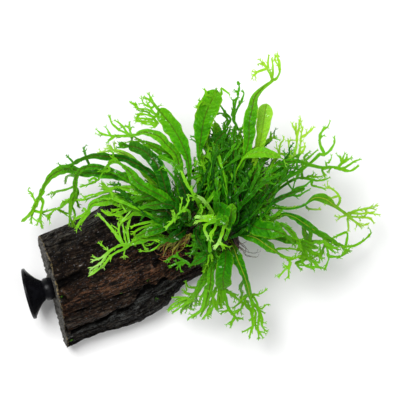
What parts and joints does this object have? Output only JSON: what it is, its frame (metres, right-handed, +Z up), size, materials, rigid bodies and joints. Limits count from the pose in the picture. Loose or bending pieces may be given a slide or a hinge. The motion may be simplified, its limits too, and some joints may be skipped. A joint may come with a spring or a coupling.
{
  "type": "java fern on driftwood",
  "caption": "Crested java fern rooted on a dark block of driftwood, with a suction cup in the wood's sawn end.",
  "frame": {"origin": "middle of the wood's flat underside, on the surface it lies on", "axes": "+Z up from the surface, +X along the suction cup's axis, from the cup into the wood"},
  "size_m": [0.2831, 0.2103, 0.1283],
  "materials": {
    "wet_driftwood": "dark, wet, fibrous",
    "black_rubber": "smooth",
    "rhizome": "scaly, damp",
    "fern_leaf": "glossy, wet, see-through against light"
  },
  "bodies": {
    "root": {"driftwood": "wet_driftwood", "suction_cup": "black_rubber", "rhizome": "rhizome", "frond_01": "fern_leaf", "frond_02": "fern_leaf", "frond_03": "fern_leaf", "frond_04": "fern_leaf", "frond_05": "fern_leaf", "frond_06": "fern_leaf", "frond_07": "fern_leaf", "frond_08": "fern_leaf", "frond_09": "fern_leaf", "frond_10": "fern_leaf", "frond_11": "fern_leaf", "frond_12": "fern_leaf", "frond_13": "fern_leaf", "frond_14": "fern_leaf", "frond_15": "fern_leaf", "frond_16": "fern_leaf", "frond_17": "fern_leaf", "frond_18": "fern_leaf", "frond_19": "fern_leaf", "frond_20": "fern_leaf", "frond_21": "fern_leaf", "frond_22": "fern_leaf", "frond_23": "fern_leaf", "frond_24": "fern_leaf", "frond_25": "fern_leaf", "frond_26": "fern_leaf", "frond_27": "fern_leaf", "frond_28": "fern_leaf", "frond_29": "fern_leaf", "frond_30": "fern_leaf", "frond_31": "fern_leaf", "frond_32": "fern_leaf", "frond_33": "fern_leaf", "frond_34": "fern_leaf", "frond_35": "fern_leaf", "frond_36": "fern_leaf", "frond_37": "fern_leaf", "frond_38": "fern_leaf", "frond_39": "fern_leaf", "frond_40": "fern_leaf", "frond_41": "fern_leaf", "frond_42": "fern_leaf", "frond_43": "fern_leaf", "frond_44": "fern_leaf", "frond_45": "fern_leaf", "frond_46": "fern_leaf"}
  },
  "joints": []
}
